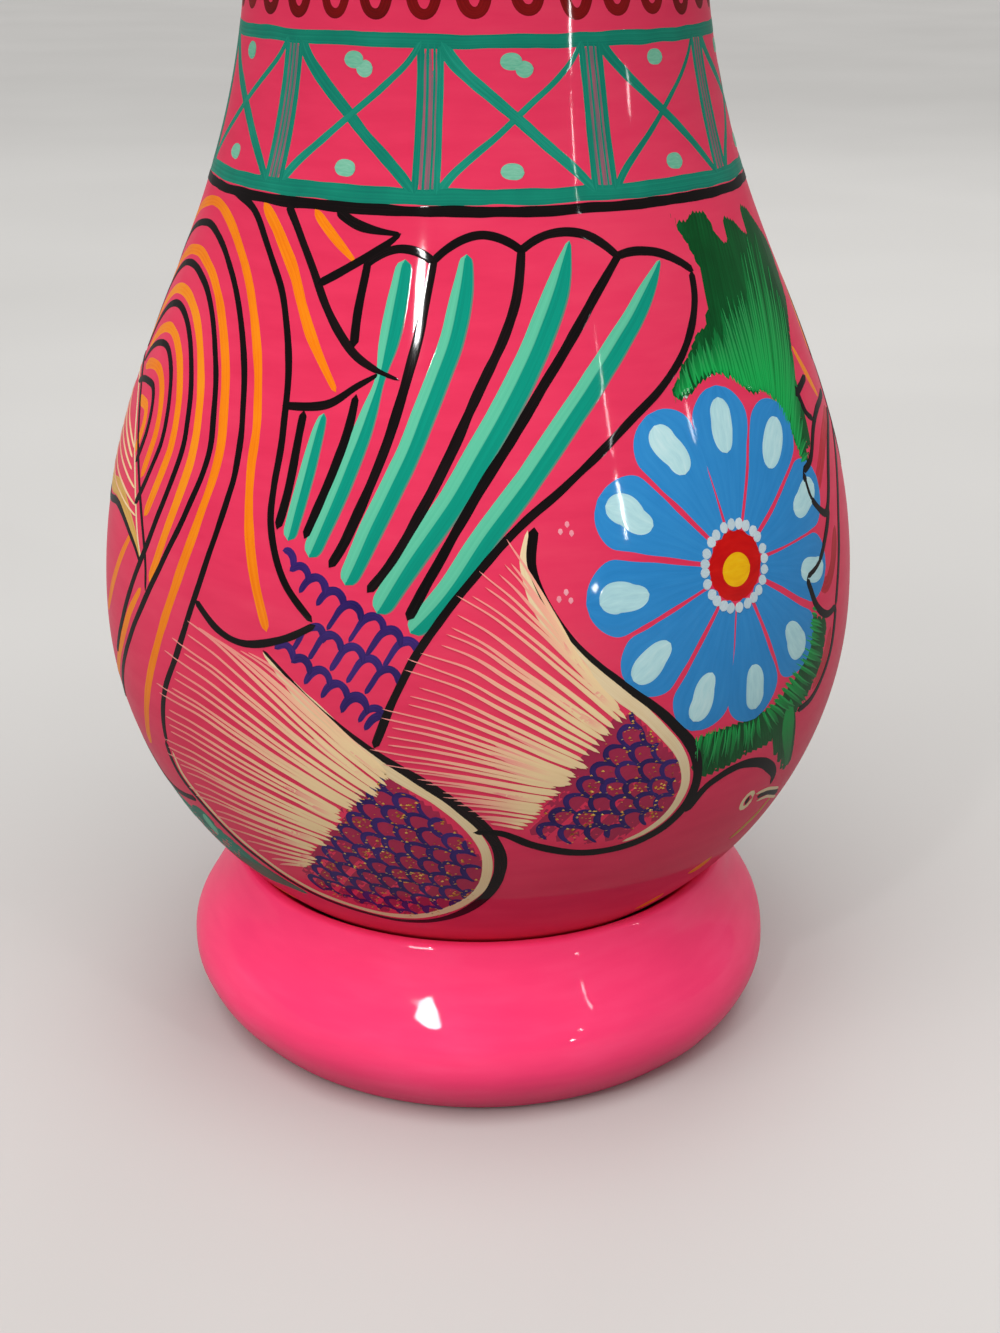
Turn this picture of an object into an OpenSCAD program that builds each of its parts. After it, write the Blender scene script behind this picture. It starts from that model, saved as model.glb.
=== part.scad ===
// Round-bottomed clay vase that stands loose in a flared clay ring.
// Millimetres. The origin is the centre of the ring's foot on the floor, +Z is up.
// Every piece is turned about the Z axis from a profile of [radius, height] points.

/* [Vase] */
// Outside diameter of the belly at its widest
belly_d = 180; // [150:1:210]
// Depth of the round bowl below the belly line
bowl_depth = 90; // [75:1:105]
// Diameter of the flat spot under the bowl
base_d = 50; // [30:1:70]
// Height from the belly line up to the waist of the neck
shoulder_h = 154; // [125:1:180]
// How far the belly's curve rises before it turns in
shoulder_full = 60; // [40:1:70]
// How far the waist's curve reaches down before it turns out
waist_full = 66; // [40:1:75]
// Outside diameter of the neck at its waist
waist_d = 100; // [80:1:116]
// Height from the waist of the neck up to the lip coil
flare_h = 31; // [24:1:50]
// Outside diameter of the neck under the lip coil
mouth_d = 126; // [112:1:150]
// Angle of the flared mouth from upright, in degrees
flare_angle = 35; // [15:1:50]
// Thickness of the clay wall
wall = 6; // [4:0.5:8]
// Thickness of the clay coil that finishes the mouth
lip_coil_d = 10; // [9:0.5:14]

/* [Luted joints] */
// Height of the neck's joint above the belly line
neck_joint_h = 95; // [80:1:115]
// How far a joint slopes down from the outside of the wall to the inside
joint_slope = 5; // [2:0.5:8]

/* [Ring stand] */
// Widest diameter of the ring
ring_d = 147; // [142:0.5:180]
// Height of the ring's widest edge above the floor
bulge_h = 16; // [10:0.5:20]
// Length of the rounding above and below the widest edge
edge_round = 8; // [3:0.5:10]
// Outside diameter of the flat foot
foot_d = 126; // [116:1:134]
// Width of the flat foot
foot_w = 8; // [5:0.5:12]
// Rounding at the outside of the foot
foot_round = 2; // [0.5:0.25:4]
// Middle diameter of the seat that carries the bowl
seat_d = 112; // [100:1:118]
// Length of the seat along the bowl's curve
seat_w = 10; // [6:0.5:14]
// Height of the seat's upper edge above the floor
seat_h = 43; // [40:1:60]
// Width of the rounded rim outside the seat
rim_w = 2.5; // [1.5:0.25:5]
// Clearance between the bowl and its seat
seat_gap = 0.3; // [0.1:0.05:0.5]

/* [Hidden] */

body_pink = [0.91, 0.22, 0.38];
ring_pink = [0.97, 0.24, 0.45];
profile_steps = 28;
turn_sides = 96;
solve_steps = 40;

// Driving sizes as radii
belly_r = belly_d / 2;
base_r = base_d / 2;
waist_r = waist_d / 2;
mouth_r = mouth_d / 2;
ring_r = ring_d / 2;
foot_r = foot_d / 2;
lip_coil_r = lip_coil_d / 2;

// The bowl is half an ellipse. An angle of 0 is the belly line and 90 the lowest point.
seat_angle = acos(seat_d / 2 / belly_r);
seat_half_angle = seat_w / 2 / bowl_depth * 180 / PI;
seat_top_angle = seat_angle - seat_half_angle;
seat_low_angle = seat_angle + seat_half_angle;
base_angle = acos(base_r / belly_r);

// Heights above the floor, from the seat upwards
belly_z = seat_h + bowl_depth * sin(seat_top_angle);
base_z = belly_z - bowl_depth * sin(base_angle);
waist_z = belly_z + shoulder_h;
mouth_z = waist_z + flare_h;
neck_joint_z = belly_z + neck_joint_h;

// The inside of the bowl, and the angles where its inner wall ends
inner_r = belly_r - wall;
inner_depth = bowl_depth - wall;
inner_joint_angle = asin(joint_slope / inner_depth);
inner_base_angle = asin((belly_z - base_z - wall) / inner_depth);

// Control points of the two curves above the belly line
flare_reach = flare_h / 3;
flare_lead = flare_h / 2;
shoulder_curve = [
    [belly_r, belly_z],
    [belly_r, belly_z + shoulder_full],
    [waist_r, waist_z - waist_full],
    [waist_r, waist_z]
];
flare_curve = [
    [waist_r, waist_z],
    [waist_r, waist_z + flare_lead],
    [mouth_r, mouth_z] - flare_reach * [sin(flare_angle), cos(flare_angle)],
    [mouth_r, mouth_z]
];

// Where the neck's joint meets the outside and the inside of the wall
neck_joint_out = share_at_height(shoulder_curve, neck_joint_z);
neck_joint_in = share_at_height(shoulder_curve, neck_joint_z - joint_slope);

// Point and outward normal of a cubic curve that climbs, at a share from 0 to 1
function curve_point(c, t) =
    pow(1 - t, 3) * c[0] + 3 * pow(1 - t, 2) * t * c[1] + 3 * (1 - t) * t * t * c[2] + pow(t, 3) * c[3];
function curve_slope(c, t) =
    3 * pow(1 - t, 2) * (c[1] - c[0]) + 6 * (1 - t) * t * (c[2] - c[1]) + 3 * t * t * (c[3] - c[2]);
function outward(d) = [d[1], -d[0]] / norm(d);

// The same curve moved in by the wall's thickness
function inner_point(c, t) = curve_point(c, t) - wall * outward(curve_slope(c, t));

// Share along a climbing curve at which it reaches a height, by halving
function share_at_height(c, z, low = 0, high = 1, steps = solve_steps) =
    let (mid = (low + high) / 2)
    steps == 0 ? mid
    : curve_point(c, mid)[1] < z ? share_at_height(c, z, mid, high, steps - 1)
    : share_at_height(c, z, low, mid, steps - 1);

// Evenly spaced values from a to b, and a list turned end for end
function spread(a, b, steps = profile_steps) = [for (i = [0 : steps]) a + (b - a) * i / steps];
function reversed(list) = [for (i = [len(list) - 1 : -1 : 0]) list[i]];

// Profile runs
function outer_run(c, a, b) = [for (t = spread(a, b)) curve_point(c, t)];
function inner_run(c, a, b) = [for (t = spread(a, b)) inner_point(c, t)];
function ellipse_point(r, depth, angle) = [r * cos(angle), belly_z - depth * sin(angle)];
function ellipse_run(r, depth, a, b, steps = profile_steps) =
    [for (angle = spread(a, b, steps)) ellipse_point(r, depth, angle)];
// A list without its first point, where that is also the end of the run before it
function after_first(list) = [for (i = [1 : len(list) - 1]) list[i]];

// A point that stands off the bowl's outside by a gap
function off_bowl(angle, gap) =
    let (n = [cos(angle) / belly_r, -sin(angle) / bowl_depth])
    ellipse_point(belly_r, bowl_depth, angle) + gap * n / norm(n);

module turned(points) {
    rotate_extrude($fn = turn_sides) polygon(points);
}

// Loose ring of clay: flat foot, flared flank with a rounded edge, and a seat that follows the bowl
module ring_stand() {
    seat_top = off_bowl(seat_top_angle, seat_gap);
    rim_end = seat_top + [rim_w, -rim_w / 2];
    edge = [ring_r, bulge_h];
    flank = edge - rim_end;
    rim_curve = [seat_top, seat_top + [rim_w / 2, 0], rim_end - rim_w / 2 * flank / norm(flank), rim_end];
    flank_curve = [rim_end, rim_end + flank / 2, edge + [0, edge_round], edge];
    under_curve = [edge, edge - [0, edge_round], [foot_r + foot_round, 0], [foot_r, 0]];
    seat = [for (angle = spread(seat_top_angle, seat_low_angle)) off_bowl(angle, seat_gap)];
    color(ring_pink)
        turned(concat(
            reversed(seat),
            after_first(outer_run(rim_curve, 0, 1)),
            after_first(outer_run(flank_curve, 0, 1)),
            after_first(outer_run(under_curve, 0, 1)),
            [[foot_r - foot_w, 0]]
        ));
}

// Moulded bowl with a flattened base, up to the joint at the belly line
module lower_bowl() {
    color(body_pink)
        turned(concat(
            [[0, base_z]],
            ellipse_run(belly_r, bowl_depth, base_angle, 0),
            ellipse_run(inner_r, inner_depth, inner_joint_angle, inner_base_angle),
            [[0, base_z + wall]]
        ));
}

// Moulded upper half of the belly, from the belly line to the joint under the neck
module upper_belly() {
    color(body_pink)
        turned(concat(
            outer_run(shoulder_curve, 0, neck_joint_out),
            inner_run(shoulder_curve, neck_joint_in, 0),
            after_first(ellipse_run(inner_r, inner_depth, 0, inner_joint_angle))
        ));
}

// Coiled neck from the shoulder joint to the flared mouth
module neck_collar() {
    color(body_pink)
        turned(concat(
            outer_run(shoulder_curve, neck_joint_out, 1),
            after_first(outer_run(flare_curve, 0, 1)),
            inner_run(flare_curve, 1, 0),
            after_first(inner_run(shoulder_curve, 1, neck_joint_in))
        ));
}

// Round coil of clay luted on the end of the neck's wall
module lip_coil() {
    wall_out = curve_point(flare_curve, 1);
    wall_in = inner_point(flare_curve, 1);
    half_chord_angle = asin(wall / 2 / lip_coil_r);
    rise = lip_coil_r * cos(half_chord_angle);
    centre = (wall_out + wall_in) / 2 + rise * [sin(flare_angle), cos(flare_angle)];
    // Angle at which the coil meets the outside of the wall, and the way round to the inside
    start = -90 - flare_angle + half_chord_angle;
    finish = start + 360 - 2 * half_chord_angle;
    color(body_pink)
        turned([
            for (angle = spread(start, finish, 2 * profile_steps))
                centre + lip_coil_r * [cos(angle), sin(angle)]
        ]);
}

ring_stand();
lower_bowl();
upper_belly();
neck_collar();
lip_coil();
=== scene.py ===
import math
import random

import bpy
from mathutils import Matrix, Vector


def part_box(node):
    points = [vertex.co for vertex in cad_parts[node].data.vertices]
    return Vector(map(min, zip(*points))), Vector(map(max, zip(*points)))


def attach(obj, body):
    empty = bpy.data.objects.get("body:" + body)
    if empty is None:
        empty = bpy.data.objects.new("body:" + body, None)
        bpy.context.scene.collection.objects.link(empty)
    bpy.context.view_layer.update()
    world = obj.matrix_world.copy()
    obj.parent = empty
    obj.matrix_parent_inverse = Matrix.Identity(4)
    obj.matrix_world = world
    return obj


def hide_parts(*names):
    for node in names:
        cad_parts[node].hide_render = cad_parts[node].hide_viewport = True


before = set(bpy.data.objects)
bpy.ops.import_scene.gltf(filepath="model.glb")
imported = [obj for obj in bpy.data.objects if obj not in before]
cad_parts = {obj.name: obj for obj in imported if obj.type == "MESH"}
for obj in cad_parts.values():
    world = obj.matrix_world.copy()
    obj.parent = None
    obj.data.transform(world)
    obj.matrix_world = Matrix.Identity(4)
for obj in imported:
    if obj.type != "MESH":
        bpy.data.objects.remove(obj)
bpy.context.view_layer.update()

mm = 0.001
rng = random.Random(7)  # every hand-made unevenness below draws from this seed

bowlLow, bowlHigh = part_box("lower_bowl")
lipLow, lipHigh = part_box("lip_coil")
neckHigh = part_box("neck_collar")[1]
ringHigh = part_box("ring_stand")[1]


# Small helpers for node trees, used by the shapes and by the finishes, and at their end two for pieces

def plug(tree, socket, value):
    if isinstance(value, bpy.types.NodeSocket):
        tree.links.new(value, socket)
    else:
        socket.default_value = value


def addNode(tree, kind, inputs=None, **settings):
    node = tree.nodes.new(kind)
    for key, value in settings.items():
        setattr(node, key, value)
    for key, value in (inputs or {}).items():
        plug(tree, node.inputs[key], value)
    return node


def firstOut(tree, kind, inputs=None, **settings):
    return addNode(tree, kind, inputs, **settings).outputs[0]


def sums(tree, operation, *values):
    return firstOut(tree, "ShaderNodeMath", dict(enumerate(values)), operation=operation)


def plus(tree, a, b):
    return sums(tree, "ADD", a, b)


def minus(tree, a, b):
    return sums(tree, "SUBTRACT", a, b)


def times(tree, a, b):
    return sums(tree, "MULTIPLY", a, b)


def vectors(tree, operation, *values):
    return firstOut(tree, "ShaderNodeVectorMath", dict(enumerate(values)), operation=operation)


def scaled(tree, vector, factor):
    return firstOut(tree, "ShaderNodeVectorMath", {0: vector, "Scale": factor}, operation="SCALE")


def apart(tree, vector):
    return addNode(tree, "ShaderNodeSeparateXYZ", {"Vector": vector}).outputs


def together(tree, **axes):
    return firstOut(tree, "ShaderNodeCombineXYZ", axes)


def ranged(tree, value, low, high, toLow=0.0, toHigh=1.0, curve="LINEAR"):
    return firstOut(tree, "ShaderNodeMapRange", {
        "Value": value, "From Min": low, "From Max": high, "To Min": toLow, "To Max": toHigh},
        interpolation_type=curve)


def noise(tree, vector, scale, detail=2.0, stretch=None, seed=0.0):
    if stretch:
        vector = firstOut(tree, "ShaderNodeMapping", {"Vector": vector, "Scale": stretch})
    return addNode(tree, "ShaderNodeTexNoise", {
        "Vector": vector, "W": seed, "Scale": scale, "Detail": detail}, noise_dimensions="4D").outputs["Fac"]


def position(tree):
    return firstOut(tree, "GeometryNodeInputPosition")


def normal(tree):
    return firstOut(tree, "GeometryNodeInputNormal")


def moved(tree, geometry, **where):
    return firstOut(tree, "GeometryNodeSetPosition", {"Geometry": geometry, **where})


def store(tree, geometry, name, value, kind="FLOAT", domain="POINT"):
    return firstOut(tree, "GeometryNodeStoreNamedAttribute", {
        "Geometry": geometry, "Name": name, "Value": value}, data_type=kind, domain=domain)


def newTree(name, sockets):
    tree = bpy.data.node_groups.new(name, "GeometryNodeTree")
    tree.interface.new_socket("Geometry", in_out="INPUT", socket_type="NodeSocketGeometry")
    for label, kind in sockets:
        tree.interface.new_socket(label, in_out="INPUT", socket_type="NodeSocket" + kind)
    tree.interface.new_socket("Geometry", in_out="OUTPUT", socket_type="NodeSocketGeometry")
    return tree, tree.nodes.new("NodeGroupInput").outputs, tree.nodes.new("NodeGroupOutput").inputs


def closeTree(tree, geometry, given, result):
    whole = firstOut(tree, "GeometryNodeRealizeInstances", {"Geometry": geometry})
    finished = firstOut(tree, "GeometryNodeSetMaterial", {"Geometry": whole, "Material": given["Material"]})
    tree.links.new(finished, result["Geometry"])


def show(thing):
    bpy.context.scene.collection.objects.link(thing)


def runTree(carrier, tree, values, pieceName):
    show(carrier)
    modifier = carrier.modifiers.new("nodes", "NODES")
    modifier.node_group = tree
    for item in tree.interface.items_tree:
        if item.in_out == "INPUT" and item.name in values:
            modifier[item.identifier] = values[item.name]
    depsgraph = bpy.context.evaluated_depsgraph_get()
    mesh = bpy.data.meshes.new_from_object(
        carrier.evaluated_get(depsgraph), preserve_all_data_layers=True, depsgraph=depsgraph)
    piece = bpy.data.objects.new(pieceName, mesh)
    mesh.name = pieceName
    show(piece)
    bpy.data.objects.remove(carrier)
    if not mesh.materials:
        mesh.materials.append(values["Material"])
    print("made", pieceName, len(mesh.polygons), "faces")
    return piece


# Colours are written as they look and turned into the linear values that shaders take

def tone(code):
    parts = [int(code[i:i + 2], 16) / 255 for i in (1, 3, 5)]
    return [p / 12.92 if p <= 0.04045 else ((p + 0.055) / 1.055) ** 2.4 for p in parts] + [1.0]


def ramp(tree, fac, stops):
    node = addNode(tree, "ShaderNodeValToRGB", {"Fac": fac})
    elements = node.color_ramp.elements
    while len(elements) < len(stops):
        elements.new(0.5)
    for element, (level, code) in zip(elements, stops):
        element.position = level
        element.color = tone(code)
    return node.outputs["Color"]


def mixed(tree, fac, a, b):
    return addNode(tree, "ShaderNodeMix", {0: fac, 6: a, 7: b}, data_type="RGBA").outputs[2]


def place(tree):
    return addNode(tree, "ShaderNodeTexCoord").outputs["Object"]


def strokeTrail(tree):
    # X runs along a brush stroke and Y across it, both from 0 to 1
    return firstOut(tree, "ShaderNodeUVMap", uv_map="strokeUV")


def bump(tree, shader, height, distance, socket="Normal"):
    relief = firstOut(tree, "ShaderNodeBump", {"Height": height, "Distance": distance, "Strength": 1.0})
    tree.links.new(relief, shader.inputs[socket])


coat = dict(ior=1.6, roughness=0.05, swell=38, ripple=130, seed=0.7)
vaseWaves = dict(weight=0.22, height=0.1 * mm, fine=0.12)
ringWaves = dict(weight=0.4, height=0.6 * mm, fine=0.22)


def newFinish(name, roughness, waves=vaseWaves):
    material = bpy.data.materials.new(name)
    material.use_nodes = True
    tree = material.node_tree
    shader = tree.nodes["Principled BSDF"]
    shader.inputs["Roughness"].default_value = roughness
    shader.inputs["Specular IOR Level"].default_value = 0.0 if waves else 0.08
    if waves:  # one clear lacquer lies over clay and paint alike, so its ripples run on through both
        shader.inputs["Coat Weight"].default_value = waves["weight"]
        shader.inputs["Coat IOR"].default_value = coat["ior"]
        shader.inputs["Coat Roughness"].default_value = coat["roughness"]
        swell = noise(tree, place(tree), coat["swell"], 1, seed=coat["seed"])
        fine = times(tree, noise(tree, place(tree), coat["ripple"], 1), waves["fine"])
        bump(tree, shader, plus(tree, swell, fine), waves["height"], "Coat Normal")
    return material, tree, shader


vaseTones = dict(deep="#E22C54", main="#EE385F", pale="#F54868")
ringTones = dict(deep="#F2306A", main="#FA3A70", pale="#FF4C7E")
clayTones = dict(deep="#9C5A3C", pale="#BE7A56")
lacquer = dict(roughness=0.32, bareRoughness=0.85, blotch=18, blotchShare=0.6, streak=60, streakShare=0.4,
               grain=420, grainShare=0.06, ragged=0.05, swell=45, relief=0.25 * mm)


def lacquerFinish(name, tones, bareShares, waves):
    # Brushed pink enamel under clear lacquer, with bare fired clay where the brush did not reach
    material, tree, shader = newFinish(name, lacquer["roughness"], waves)
    blotch = noise(tree, place(tree), lacquer["blotch"], 3)
    streak = noise(tree, place(tree), lacquer["streak"], 4, stretch=(1, 1, 5))
    tint = plus(tree, times(tree, blotch, lacquer["blotchShare"]),
                times(tree, streak, lacquer["streakShare"]))
    pink = ramp(tree, tint, [(0.26, tones["deep"]), (0.5, tones["main"]), (0.76, tones["pale"])])
    grain = noise(tree, place(tree), lacquer["grain"], 5)
    bare = ramp(tree, grain, [(0.35, clayTones["deep"]), (0.7, clayTones["pale"])])
    climb = addNode(tree, "ShaderNodeAttribute", attribute_name="climb").outputs["Fac"]
    ragged = plus(tree, climb, times(tree, minus(tree, blotch, 0.5), lacquer["ragged"]))
    inside = ranged(tree, ragged, *bareShares)
    rough = ranged(tree, inside, 0.0, 1.0, lacquer["roughness"], lacquer["bareRoughness"])
    gloss = ranged(tree, inside, 0.0, 1.0, waves["weight"], 0.0)
    tree.links.new(mixed(tree, inside, pink, bare), shader.inputs["Base Color"])
    tree.links.new(rough, shader.inputs["Roughness"])
    tree.links.new(gloss, shader.inputs["Coat Weight"])
    swell = noise(tree, place(tree), lacquer["swell"], 1)
    bump(tree, shader, plus(tree, swell, times(tree, grain, lacquer["grainShare"])), lacquer["relief"])
    return material


enamel = dict(roughness=0.3, streakShare=0.55, blotch=130, blotchShare=0.3, strengthShare=0.15,
              relief=0.05 * mm)


def paintFinish(name, deep, main, pale, streaks=9.0):
    # Enamel laid on with a brush: streaks run along the stroke, and each stroke has its own strength
    material, tree, shader = newFinish(name, enamel["roughness"])
    strength = addNode(tree, "ShaderNodeAttribute", attribute_name="strength").outputs["Fac"]
    streak = noise(tree, strokeTrail(tree), 1.0, 3, stretch=(2.5, streaks, 1))
    blotch = noise(tree, place(tree), enamel["blotch"], 2)
    tint = plus(tree, times(tree, streak, enamel["streakShare"]), times(tree, blotch, enamel["blotchShare"]))
    tint = plus(tree, tint, times(tree, strength, enamel["strengthShare"]))
    tree.links.new(ramp(tree, tint, [(0.34, deep), (0.5, main), (0.66, pale)]), shader.inputs["Base Color"])
    bump(tree, shader, streak, enamel["relief"])
    return material


seam = dict(start=0.48, climb=-0.13, soft=0.02, wander=0.08, relief=0.01 * mm,
            fringe="#C23A60", fringeFrom=0.9, fringeShare=0.5)


def twoToneFinish(name, left, right):
    # One brush loaded with two colours, so the stroke is pale on one side and deep on the other
    material, tree, shader = newFinish(name, enamel["roughness"])
    axes = apart(tree, strokeTrail(tree))
    streak = noise(tree, strokeTrail(tree), 1.0, 4, stretch=(3, 16, 1))
    wander = times(tree, minus(tree, streak, 0.5), seam["wander"])
    border = plus(tree, times(tree, axes["X"], seam["climb"]), seam["start"])
    side = minus(tree, plus(tree, axes["Y"], wander), border)
    share = ranged(tree, side, -seam["soft"], seam["soft"])
    pale, full = (ramp(tree, streak, [(0.35, dark), (0.65, light)]) for dark, light in (left, right))
    fringe = ranged(tree, axes["Y"], seam["fringeFrom"], 1.0, 0.0, seam["fringeShare"])
    colour = mixed(tree, fringe, mixed(tree, share, pale, full), tone(seam["fringe"]))
    tree.links.new(colour, shader.inputs["Base Color"])
    bump(tree, shader, streak, seam["relief"])
    return material


fade = dict(start=0.15, finish=0.85, ragged=0.5, relief=0.04 * mm)


def fadeFinish(name, start, finish, streaks):
    # A stroke that changes colour along its length as the brush runs dry
    material, tree, shader = newFinish(name, enamel["roughness"])
    streak = noise(tree, strokeTrail(tree), 1.0, 3, stretch=(2, streaks, 1))
    along = apart(tree, strokeTrail(tree))["X"]
    reach = plus(tree, along, times(tree, minus(tree, streak, 0.5), fade["ragged"]))
    colour = ramp(tree, reach, [(fade["start"], start), (fade["finish"], finish)])
    tree.links.new(colour, shader.inputs["Base Color"])
    bump(tree, shader, streak, fade["relief"])
    return material


glitter = dict(roughness=0.28, grain=900, tones=((0.3, "#6E4A12"), (0.45, "#C98A1E"), (0.65, "#F7D468")))


def goldFinish(name):
    material, tree, shader = newFinish(name, glitter["roughness"])
    shader.inputs["Metallic"].default_value = 1.0
    flakes = ramp(tree, noise(tree, place(tree), glitter["grain"], 1), glitter["tones"])
    tree.links.new(flakes, shader.inputs["Base Color"])
    return material


print("finishes ready")


# The clay itself, turned from a meridian of radius and height

vase = dict(
    bellyR=bowlHigh.x, bellyZ=bowlHigh.z, baseZ=bowlLow.z, bowlDepth=90 * mm,
    shoulderH=154 * mm, shoulderFull=60 * mm, waistFull=66 * mm, waistR=50 * mm,
    mouthR=neckHigh.x, flareH=31 * mm, flareAngle=35, wall=6 * mm, lipCoilR=(lipHigh.z - lipLow.z) / 2,
    steps=dict(foot=8, bowl=62, shoulder=84, flare=18, coil=26, inner=26, floor=6), innerJoint=2,
    turnSteps=300, inset=0.5 * mm, lump=0.28 * mm, lumpScale=14, seed=3.0, flatBelow=1 * mm,
    calm=(1.0, 1.1),  # above the mouth, so its lumps never die away
    bare=(0.80, 0.83))  # shares of the meridian between which bare clay begins, a little way inside the mouth
vase["waistZ"] = vase["bellyZ"] + vase["shoulderH"]
vase["mouthZ"] = vase["waistZ"] + vase["flareH"]


def bezier(c, t):
    k = 1 - t
    weights = (k ** 3, 3 * k * k * t, 3 * k * t * t, t ** 3)
    return tuple(sum(w * p[i] for w, p in zip(weights, c)) for i in (0, 1))


def moveIn(points, gap):
    # The same run of points, moved to the left of its direction by a gap
    run = []
    for i, (r, z) in enumerate(points):
        before, after = points[max(i - 1, 0)], points[min(i + 1, len(points) - 1)]
        dr, dz = after[0] - before[0], after[1] - before[1]
        length = math.hypot(dr, dz)
        run.append((r - gap * dz / length, z + gap * dr / length))
    return run


def spread(a, b, steps):
    return [a + (b - a) * i / steps for i in range(steps + 1)]


def ellipseRun(r, depth, start, finish, steps):
    return [(r * math.cos(math.radians(a)), vase["bellyZ"] - depth * math.sin(math.radians(a)))
            for a in spread(start, finish, steps)]


def vaseRuns():
    v, steps = vase, vase["steps"]
    shoulder = [(v["bellyR"], v["bellyZ"]), (v["bellyR"], v["bellyZ"] + v["shoulderFull"]),
                (v["waistR"], v["waistZ"] - v["waistFull"]), (v["waistR"], v["waistZ"])]
    lean = math.radians(v["flareAngle"])
    tangent = (math.sin(lean), math.cos(lean))
    reach = v["flareH"] / 3
    flare = [(v["waistR"], v["waistZ"]), (v["waistR"], v["waistZ"] + v["flareH"] / 2),
             (v["mouthR"] - reach * tangent[0], v["mouthZ"] - reach * tangent[1]), (v["mouthR"], v["mouthZ"])]
    baseAngle = math.degrees(math.asin((v["bellyZ"] - v["baseZ"]) / v["bowlDepth"]))
    bowl = ellipseRun(v["bellyR"], v["bowlDepth"], baseAngle, 0, steps["bowl"])
    upper = [bezier(curve, t) for curve, count in ((shoulder, steps["shoulder"]), (flare, steps["flare"]))
             for t in spread(0, 1, count)[1:]]
    outer = bowl + upper
    chord = math.asin(v["wall"] / 2 / v["lipCoilR"])
    rise = v["lipCoilR"] * math.cos(chord)
    wallIn = moveIn(upper, v["wall"])
    centre = [(a + b) / 2 + rise * t for a, b, t in zip(upper[-1], wallIn[-1], tangent)]
    start = -math.pi / 2 - lean + chord
    coil = [(centre[0] + v["lipCoilR"] * math.cos(a), centre[1] + v["lipCoilR"] * math.sin(a))
            for a in spread(start, start + 2 * math.pi - 2 * chord, steps["coil"])]
    innerDepth = v["bowlDepth"] - v["wall"]
    innerBase = math.degrees(math.asin((v["bellyZ"] - v["baseZ"] - v["wall"]) / innerDepth))
    inner = wallIn[::-4] + ellipseRun(
        v["bellyR"] - v["wall"], innerDepth, v["innerJoint"], innerBase, steps["inner"])
    foot = [(r, v["baseZ"]) for r in spread(0, bowl[0][0], steps["foot"])][:-1]
    floor = [(r, v["baseZ"] + v["wall"]) for r in spread(inner[-1][0], 0, steps["floor"])][1:]
    return foot + outer + coil[1:-1] + inner + floor, outer


vaseMeridian, outside = vaseRuns()


def radiusAt(height):
    for (r0, z0), (r1, z1) in zip(outside, outside[1:]):
        if z0 <= height <= z1:
            return r0 + (r1 - r0) * (height - z0) / (z1 - z0)
    return outside[-1][0]


ring = dict(
    edgeR=ringHigh.x, edgeZ=16 * mm, edgeRound=8 * mm, footR=63 * mm, footW=8 * mm, footRound=2 * mm,
    seatTop=(60.1 * mm, 42.8 * mm), seatLow=(52.3 * mm, 36.5 * mm), rimW=2.5 * mm,
    steps=dict(foot=5, under=20, flank=30, rim=10, seat=6, wall=14),
    turnSteps=260, inset=0.0, lump=0.8 * mm, lumpScale=26, seed=9.3, flatBelow=5 * mm,
    calm=(35 * mm, 41 * mm),  # the lumps die away between these heights, so the seat stays true
    bare=(2.0, 2.1))  # beyond the meridian's end, so the lacquer covers it all


def ringRun():
    g, steps = ring, ring["steps"]
    seatR, seatZ = g["seatTop"]
    lowR, lowZ = g["seatLow"]
    endR, endZ = seatR + g["rimW"], seatZ - g["rimW"] / 2
    flankR, flankZ = g["edgeR"] - endR, g["edgeZ"] - endZ
    share = g["rimW"] / 2 / math.hypot(flankR, flankZ)
    rim = [(seatR, seatZ), (seatR + g["rimW"] / 2, seatZ),
           (endR - share * flankR, endZ - share * flankZ), (endR, endZ)]
    flank = [(endR, endZ), (endR + flankR / 2, endZ + flankZ / 2),
             (g["edgeR"], g["edgeZ"] + g["edgeRound"]), (g["edgeR"], g["edgeZ"])]
    under = [(g["edgeR"], g["edgeZ"]), (g["edgeR"], g["edgeZ"] - g["edgeRound"]),
             (g["footR"] + g["footRound"], 0.0), (g["footR"], 0.0)]
    insideR = g["footR"] - g["footW"]
    foot = [(r, 0.0) for r in spread(insideR, g["footR"], steps["foot"])]
    outerPath = [bezier(curve, t)
                 for curve, count in ((under, steps["under"]), (flank, steps["flank"]), (rim, steps["rim"]))
                 for t in spread(1, 0, count)[:-1]]
    seat = [tuple(a + (b - a) * t for a, b in zip(g["seatTop"], g["seatLow"]))
            for t in spread(0, 1, steps["seat"])]
    wall = [(lowR + (insideR - lowR) * t, lowZ * (1 - t)) for t in spread(0, 1, steps["wall"])]
    return foot[:-1] + outerPath + seat[:-1] + wall


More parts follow.
